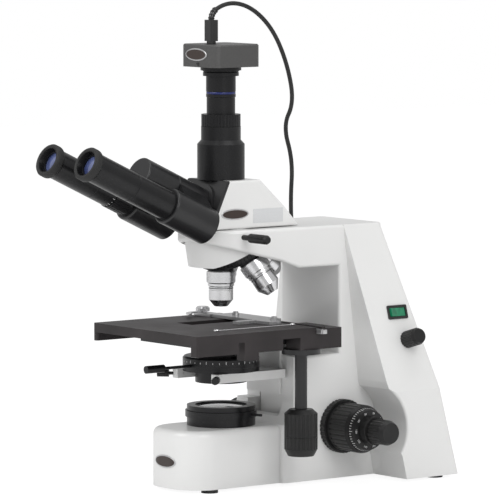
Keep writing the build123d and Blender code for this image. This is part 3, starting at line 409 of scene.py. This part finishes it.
def plain_color(name, color, roughness=0.5):
    """Printed or painted trim, slightly uneven; the finish of the objectives' dark lines is also painted shade
    in the carrier screw's socket.
    """
    material, nodes, links, shader = finish_base(name, color, roughness)
    noise = grain(nodes, links, 800, 3)
    low = tuple(0.9 * c for c in color)
    vary_color(nodes, links, shader, noise, low, color)
    return material


FINISHES = {}


def finish(name):
    """The finish of this name, made when it's first used."""
    makers = {
        "white_enamel": white_enamel,
        "black_enamel": black_enamel,
        "black_stage": black_stage,
        "black_anodised": black_anodised,
        "black_grip": black_grip,
        "black_rubber": soft_rubber,
        "bright_chrome": satin_chrome,
        "steel": ground_steel,
        "brass_gear": brass,
        "camera_grey": camera_coat,
        "optical_glass": coated_glass,
        "bulb_glass": clear_glass,
        "clear_glass": clear_glass,
        "green_rocker": green_lens,
        "black_plastic": gloss_black,
        "white_print": lambda: plain_color("white print", (0.75, 0.75, 0.75)),
        "blue_band": lambda: plain_color("blue band", chosen("band"), 0.35),
        "badge_ground": lambda: plain_color("badge ground", chosen("badge"), 0.3),
        "dark_line": lambda: plain_color("dark line", (0.08, 0.08, 0.085), 0.4),
        "pale_label": lambda: plain_color("pale label", chosen("label"), 0.45),
    }
    if name not in FINISHES:
        FINISHES[name] = makers[name]()
    return FINISHES[name]


def dress(piece, name):
    piece.data.materials.clear()
    piece.data.materials.append(finish(name))


def fit_out(piece, body, name):
    """Gives a new piece its finish and the body that it moves with."""
    dress(piece, name)
    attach(piece, body)
    return piece


NODE_FINISH = {
    "stage_plate": "black_stage",
    "field_lens": "clear_glass",
    "condenser_lens": "clear_glass",
}


class DressFrame(bpy.types.Operator):
    """Gives each CAD node its finish"""

    bl_idname = "scope.dress_frame"
    bl_label = "Frame finishes"

    def execute(self, context):
        slots = {row["node"]: row["material_slot"] for row in frame["record"]["subparts"]}
        for node, piece in frame["nodes"].items():
            dress(piece, NODE_FINISH.get(node, slots[node]))
        return {"FINISHED"}


# Cord.

# The plug and its relief in millimetres, as the CAD has them.
PLUG_Y, PLUG_TOP_Z = -14.4, 557.7
RELIEF_R, RELIEF_TURN = 14, math.radians(60)
FIRST_RUN = 0.018
CORD_D = 0.0052
COIL_X, COIL_Y, COIL_R = -0.172, 0.150 - Y_MID, 0.029


def cord_route():
    """Points of the cord, the same as the CAD tube's corners."""
    def seen(right, near, z):
        return place(0.6157 * right + 0.788 * near, 0.788 * right - 0.6157 * near, z)

    out, up = math.sin(RELIEF_TURN), math.cos(RELIEF_TURN)
    start = place(0, PLUG_Y + RELIEF_R * (1 - up), PLUG_TOP_Z + RELIEF_R * out)
    points = [start, start + Vector((0, FIRST_RUN * out, FIRST_RUN * up))]
    points += [seen(35, -25, 573), seen(62, -52, 545), seen(80, -82, 500), seen(88, -110, 453)]
    points += [seen(75, -124, 424), seen(87, -140, 380), seen(84, -156, 328)]
    points += [place(-88, 180, 268), place(-112, 196, 205), place(-132, 204, 140), place(-142, 205, 78)]
    points += [place(-150, 200, 34), place(-168, 182, 8)]
    return points


class MakeCord(bpy.types.Operator):
    """Makes the cord with its coil and hides the CAD cord and coil"""

    bl_idname = "scope.make_cord"
    bl_label = "Cord"

    def execute(self, context):
        points = cord_route()
        turns, steps = 4, 14
        centre = Vector((COIL_X, COIL_Y, 0))
        start_turn = math.radians(108)
        for step in range(turns * steps):
            angle = start_turn + 2 * math.pi * step / steps
            lap = step / steps
            level = CORD_D / 2 + (CORD_D * 1.02 if int(lap) % 2 else 0)
            radius = COIL_R + (CORD_D * 0.52 if lap < 2 else -CORD_D * 0.52)
            points.append(centre + Vector((radius * math.cos(angle), radius * math.sin(angle), level)))
        curve = bpy.data.curves.new("usb_cord_line", "CURVE")
        curve.dimensions = "3D"
        spline = curve.splines.new("NURBS")
        spline.points.add(len(points) - 1)
        flat = np.hstack([np.array(points), np.ones((len(points), 1))])
        spline.points.foreach_set("co", flat.ravel())
        spline.order_u = 3
        spline.use_endpoint_u = True
        curve.bevel_depth = CORD_D / 2
        curve.bevel_resolution = 6
        curve.use_fill_caps = True
        piece = bpy.data.objects.new("usb_cord_line", curve)
        context.collection.objects.link(piece)
        piece.data.materials.append(finish("black_rubber"))
        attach(piece, "stand")
        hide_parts("usb_cord", "usb_coil")
        return {"FINISHED"}


# Trim and scales.


def head_point(x, up, along):
    return HINGE + TUBE_ACROSS * (x / 1000) + TUBE_UP * (up / 1000) + TUBE_ALONG * (along / 1000)


class MakeScales(bpy.types.Operator):
    """Makes the graduations of the dials, the condenser and the dioptre ring"""

    bl_idname = "scope.make_scales"
    bl_label = "Scales"

    def execute(self, context):
        for side, label in ((1, "right"), (-1, "left")):
            axis = (side, 0, 0)
            ticks = marks_piece(f"fine_scale_{label}", AXLE, axis, 0.0259, 0.1048, 50, 0.0007,
                                (0.0042, 0.0026, 0.0026, 0.0026, 0.0026), cone=0.26)
            fit_out(ticks, "fine", "white_print")
            rows = []
            for step in range(10):
                angle = math.radians(36 * step)
                out = Vector((0, math.cos(angle), math.sin(angle)))
                across = out.cross(Vector((-side, 0, 0)))
                spot = AXLE + out * 0.0205 + Vector((side * 0.11205, 0, 0))
                rows.append((str(20 * step), 0.0036, spot, across, out))
            fit_out(numbers_piece(f"fine_numbers_{label}", rows), "fine", "white_print")
        ticks = marks_piece("condenser_scale", place(0, 0, 0), (0, 0, 1), 0.046, 0.1502, 36, 0.0007,
                            (0.0034, 0.002, 0.002))
        fit_out(ticks, "condenser", "white_print")
        ticks = marks_piece("dioptre_scale", head_point(-38, -26.7, 0), TUBE_ALONG, 0.01752, 0.1004, 24,
                            0.0006, (0.0028, 0.0016))
        fit_out(ticks, "left_tube", "white_print")
        return {"FINISHED"}


SHOULDER = 0.066
# Name, place on the turret in degrees, and length, tip radius and nose cone in mm.
OBJECTIVES = (
    ("medium", 0, 42, 8, 8),
    ("high", -90, 44, 7, 10),
    ("immersion", 180, 44.6, 6.5, 11),
    ("low", 90, 29, 11, 4),
)


class MakeObjectiveBands(bpy.types.Operator):
    """Makes the chromed sleeve, the knurl and the engraved line of each objective"""

    bl_idname = "scope.make_objective_bands"
    bl_label = "Objective bands"

    def execute(self, context):
        for label, turn, length, tip, nose in OBJECTIVES:
            phi = math.radians(turn)
            lean = math.cos(TURRET_TILT) * (1 - math.cos(phi))
            along = Vector((-math.sin(phi) * math.sin(TURRET_TILT), lean * math.sin(TURRET_TILT),
                            -lean * math.cos(TURRET_TILT) - math.cos(phi)))
            base = APEX + along * SHOULDER
            outline = [(11.5, 0.3), (17.0, 0.3), (17.2, 0.6), (17.2, 13.2), (16.9, 13.6), (15.8, 14.6)]
            outline += [(15.8, 17.4), (14.6, 18.6), (14.6, 21.8), (14.3, 22.0), (14.3, 22.5), (14.6, 22.7)]
            outline += [(14.6, length - nose), (tip + 0.7, length - 0.7), (tip - 0.5, length - 0.7)]
            outline += [(11.5, length - nose - 1)]
            sleeve = turned_piece(f"objective_{label}_sleeve", base, along, metres(outline))
            sleeve.data.set_sharp_from_angle(angle=math.radians(28))
            fit_out(sleeve, "turret", "bright_chrome")
            ticks = marks_piece(f"objective_{label}_knurl", base, along, 0.01722, 0.0017, 60,
                                0.0009, (0.0105,))
            fit_out(ticks, "turret", "bright_chrome")
            band = [(14.4, 19.6), (14.72, 19.6), (14.72, 20.6), (14.4, 20.6)]
            line = turned_piece(f"objective_{label}_line", base, along, metres(band))
            fit_out(line, "turret", "dark_line")
        return {"FINISHED"}


class MakeStageTrim(bpy.types.Operator):
    """Makes the steel rail and its screws on the stage"""

    bl_idname = "scope.make_stage_trim"
    bl_label = "Stage trim"

    def execute(self, context):
        rail = slab_piece("stage_rail", rounded_box_outline(0.0016, 0.0605, 0.001), place(90, -19.5, 197.9),
                          (1, 0, 0), (0, 1, 0), 0.0012, 0.0003)
        fit_out(rail, "stage", "bright_chrome")
        for number, y in enumerate((-76, 37)):
            head = [(0.00001, 0.0), (0.0031, 0.0), (0.0031, 0.0016), (0.0024, 0.0022), (0.0012, 0.0022),
                    (0.0011, 0.0014), (0.00001, 0.0014)]
            screw = turned_piece(f"rail_screw_{number + 1}", place(90, y, 197.9), (0, 0, 1), head, 48)
            fit_out(screw, "stage", "bright_chrome")
        return {"FINISHED"}


def nose_point(run, height, out):
    """Point on the lamp nose at a run along its front outline from the middle, set off outward."""
    flat = np.clip(run, -0.010, 0.010)
    turn = (run - flat) / 0.040
    x = flat + (0.040 + out) * np.sin(turn)
    y = -0.044 - (0.040 + out) * np.cos(turn) - Y_MID
    return np.stack([x, y, np.broadcast_to(height, np.shape(x))], axis=-1)


def oval_shell(name, surface, half_a, half_b, thick, rings=10, sides=72):
    """Oval plate bent to a surface: points surface(a*s*cos t, b*s*sin t, out) for s from 0 to 1."""
    angle = np.linspace(0, 2 * np.pi, sides, endpoint=False)
    share = np.concatenate([np.linspace(0, 0.94, rings), [0.985, 1.0, 1.0]])
    out = np.concatenate([np.full(rings, thick), [thick * 0.9, thick * 0.4, -0.0003]])
    a = share[:, None] * half_a * np.cos(angle)
    b = share[:, None] * half_b * np.sin(angle)
    points = surface(a, b, np.broadcast_to(out[:, None], a.shape))
    piece = mesh_piece(name, points.reshape(-1, 3), grid_faces(len(share), sides, True))
    piece.data.update()
    return piece


class MakeBadges(bpy.types.Operator):
    """Makes the bare oval plates and the bare pale label"""

    bl_idname = "scope.make_badges"
    bl_label = "Bare plates"

    def execute(self, context):
        def nose(a, b, out):
            return nose_point(a, 0.036 + b, out)

        def head_side(a, b, out):
            return np.stack([0.0385 + out, -0.009 - Y_MID + a, 0.3285 + b], axis=-1)

        def camera_front(a, b, out):
            return np.stack([-0.003 + a, -0.0345 - Y_MID - out, 0.517 + b], axis=-1)

        spots = (("nose_badge", nose, 0.020, 0.0078), ("head_badge", head_side, 0.0205, 0.0066),
                 ("camera_badge", camera_front, 0.0205, 0.0075))
        for name, surface, half_a, half_b in spots:
            rim = oval_shell(f"{name}_rim", surface, half_a, half_b, 0.0008)
            fit_out(rim, "stand", "steel")
            field = oval_shell(f"{name}_field", surface, half_a - 0.0018, half_b - 0.0015, 0.0011)
            fit_out(field, "stand", "badge_ground")
        label = slab_piece("head_label", rounded_box_outline(0.0225, 0.0085, 0.0008), place(38.4, 41, 325),
                           (0, 1, 0), (0, 0, 1), 0.0004, 0.0001)
        fit_out(label, "stand", "pale_label")
        return {"FINISHED"}


class MakeScrews(bpy.types.Operator):
    """Makes the small screws and the rubber eyeguards"""

    bl_idname = "scope.make_screws"
    bl_label = "Screws and eyeguards"

    def execute(self, context):
        head = [(0.00001, -0.0008), (0.0052, -0.0008), (0.0052, 0.0014), (0.0044, 0.0022), (0.0026, 0.0022),
                (0.0025, 0.0006), (0.00001, 0.0006)]
        screw = turned_piece("carrier_screw", place(32, 73, 143), (1, 0, 0), head, 48)
        fit_out(screw, "condenser", "steel")
        # Painted shade: a dark hex prism at the bottom of the carrier screw's socket stands in for the shade
        # in the recess.
        socket = [(0.00001, -0.0005), (0.0026, -0.0005), (0.0026, 0.0009), (0.00001, 0.0009)]
        socket_shade = turned_piece("carrier_screw_socket", place(32, 73, 143), (1, 0, 0), socket, 6)
        fit_out(socket_shade, "condenser", "dark_line")
        band = [(0.0171, 0.4694), (0.01745, 0.4696), (0.01745, 0.4720), (0.0171, 0.4722)]
        ring = turned_piece("adapter_band", place(0, 0, 0), (0, 0, 1), band)
        fit_out(ring, "stand", "blue_band")
        rib = [(0.0030, -0.0006), (0.0038, -0.0006), (0.0040, 0.0), (0.0038, 0.0006), (0.0030, 0.0006)]
        for number in range(4):
            bend = math.radians(8 + 15 * number)
            centre = place(0, PLUG_Y + RELIEF_R * (1 - math.cos(bend)), PLUG_TOP_Z + RELIEF_R * math.sin(bend))
            forward = (0, math.sin(bend), math.cos(bend))
            ring = turned_piece(f"relief_rib_{number + 1}", centre, forward, rib, 48)
            fit_out(ring, "stand", "black_rubber")
        small = [(r * 0.45, h * 0.45) for r, h in head]
        spot = turned_piece("camera_screw", place(0, -34.5, 506), (0, -1, 0), small, 32)
        fit_out(spot, "stand", "black_plastic")
        for side, label in ((1, "right"), (-1, "left")):
            ring = [(0.0150, 0.1955), (0.0152, 0.1992), (0.0170, 0.2008), (0.0190, 0.2004), (0.0203, 0.1985),
                    (0.0204, 0.1925), (0.0198, 0.1905), (0.0180, 0.1900), (0.0180, 0.1950)]
            guard = turned_piece(f"eyeguard_{label}", head_point(38 * side, -26.7, 0), TUBE_ALONG, ring, 96)
            fit_out(guard, f"{label}_tube", "black_rubber")
        return {"FINISHED"}


# Stage of the picture.


class StudioSettings(bpy.types.PropertyGroup):
    """Camera and light of the picture."""

    distance: bpy.props.FloatProperty(
        name="Distance", description="Camera from the object", default=5.3, unit="LENGTH"
    )
    height: bpy.props.FloatProperty(
        name="Height", description="Camera above the bench", default=0.75, unit="LENGTH"
    )
    view_width: bpy.props.FloatProperty(
        name="View width", description="Seen at the object", default=0.594, unit="LENGTH"
    )
    background: bpy.props.FloatVectorProperty(
        name="Background", description="Floor and backdrop", default=(1.0, 1.0, 1.0), subtype="COLOR"
    )


class MakeStudio(bpy.types.Operator):
    """Makes the floor, the lights, the world and the camera"""

    bl_idname = "scope.make_studio"
    bl_label = "Studio"

    def execute(self, context):
        settings = context.scene.scope_studio
        floor = mesh_piece("floor", [(-6, -6, 0), (6, -6, 0), (6, 6, 0), (-6, 6, 0)], [[0, 1, 2, 3]])
        material, nodes, links, shader = finish_base("floor", (0.9, 0.9, 0.9), 0.9)
        floor.data.materials.append(material)
        self.whiten(settings, nodes, links, shader)
        self.light(context, settings)
        self.camera(context, settings)
        context.scene.view_settings.view_transform = "Standard"
        return {"FINISHED"}

    def whiten(self, settings, nodes, links, shader):
        """Shows the floor as near white to the camera while it keeps the object's shadow."""
        shader.inputs["Base Color"].default_value = (0.93, 0.93, 0.93, 1)
        shader.inputs["Roughness"].default_value = 1.0
        shader.inputs["Specular IOR Level"].default_value = 0.0
        path = nodes.new("ShaderNodeLightPath")
        glow = nodes.new("ShaderNodeEmission")
        glow.inputs["Color"].default_value = (*settings.background, 1)
        glow.inputs["Strength"].default_value = 1.13
        mix = nodes.new("ShaderNodeMixShader")
        share = nodes.new("ShaderNodeMath")
        share.operation = "MULTIPLY"
        share.inputs[1].default_value = 0.82
        links.new(path.outputs["Is Camera Ray"], share.inputs[0])
        links.new(share.outputs["Value"], mix.inputs["Fac"])
        links.new(shader.outputs["BSDF"], mix.inputs[1])
        links.new(glow.outputs["Emission"], mix.inputs[2])
        out = nodes["Material Output"]
        links.new(mix.outputs["Shader"], out.inputs["Surface"])

    def light(self, context, settings):
        world = bpy.data.worlds.new("studio")
        world.use_nodes = True
        context.scene.world = world
        nodes, links = world.node_tree.nodes, world.node_tree.links
        background = nodes["Background"]
        background.inputs["Color"].default_value = (1, 1, 1, 1)
        background.inputs["Strength"].default_value = 0.55
        seen = nodes.new("ShaderNodeBackground")
        seen.inputs["Color"].default_value = (*settings.background, 1)
        seen.inputs["Strength"].default_value = 1.0
        path = nodes.new("ShaderNodeLightPath")
        mix = nodes.new("ShaderNodeMixShader")
        either = nodes.new("ShaderNodeMath")
        either.operation = "MAXIMUM"
        links.new(path.outputs["Is Camera Ray"], either.inputs[0])
        links.new(path.outputs["Is Transmission Ray"], either.inputs[1])
        links.new(either.outputs["Value"], mix.inputs["Fac"])
        links.new(background.outputs["Background"], mix.inputs[1])
        links.new(seen.outputs["Background"], mix.inputs[2])
        links.new(mix.outputs["Shader"], nodes["World Output"].inputs["Surface"])
        lamps = (
            ("key", (-0.6, -2.4, 2.2), 1.6, 34),
            ("right", (2.2, -0.4, 1.5), 1.2, 16),
            ("top", (0.2, 0.2, 2.6), 1.8, 14),
        )
        for name, spot, size, power in lamps:
            lamp = bpy.data.lights.new(name, "AREA")
            lamp.size = size
            lamp.energy = power
            lamp_object = bpy.data.objects.new(name, lamp)
            lamp_object.location = spot
            aim = Vector((0, 0, 0.25)) - Vector(spot)
            lamp_object.rotation_euler = aim.to_track_quat("-Z", "Y").to_euler()
            context.collection.objects.link(lamp_object)

    def camera(self, context, settings):
        across = Vector((0.6157, 0.788, 0))
        towards = Vector((0.788, -0.6157, 0))
        target = place(34 * across.x, 34 * across.y, 283)
        camera = bpy.data.cameras.new("view")
        camera.sensor_width = 36
        camera.lens = 36 * settings.distance / settings.view_width
        camera_object = bpy.data.objects.new("view", camera)
        spot = target + towards * settings.distance
        spot.z = settings.height
        camera_object.location = spot
        camera_object.rotation_euler = (target - spot).to_track_quat("-Z", "Y").to_euler()
        context.collection.objects.link(camera_object)
        context.scene.camera = camera_object


class ScopePanel(bpy.types.Panel):
    """Lists the steps that dress the microscope"""

    bl_idname = "SCOPE_PT_dressing"
    bl_label = "Microscope"
    bl_space_type = "VIEW_3D"
    bl_region_type = "UI"
    bl_category = "Microscope"

    def draw(self, context):
        settings = context.scene.scope_studio
        for step in STEPS:
            self.layout.operator(step.bl_idname)
        for name in ("distance", "height", "view_width", "background"):
            self.layout.prop(settings, name)
        for name in ("enamel", "badge", "band", "label"):
            self.layout.prop(context.scene.scope_finish, name)


STEPS = (
    DressFrame,
    MakeCord,
    MakeScales,
    MakeObjectiveBands,
    MakeStageTrim,
    MakeBadges,
    MakeScrews,
    MakeStudio,
)
CLASSES = (FinishSettings, StudioSettings, *STEPS, ScopePanel)


def register():
    for made in CLASSES:
        bpy.utils.register_class(made)
    bpy.types.Scene.scope_finish = bpy.props.PointerProperty(type=FinishSettings)
    bpy.types.Scene.scope_studio = bpy.props.PointerProperty(type=StudioSettings)


def unregister():
    del bpy.types.Scene.scope_studio
    del bpy.types.Scene.scope_finish
    for made in reversed(CLASSES):
        bpy.utils.unregister_class(made)


def main():
    register()
    for step in STEPS:
        group, name = step.bl_idname.split(".")
        getattr(getattr(bpy.ops, group), name)()


if __name__ == "__main__":
    main()
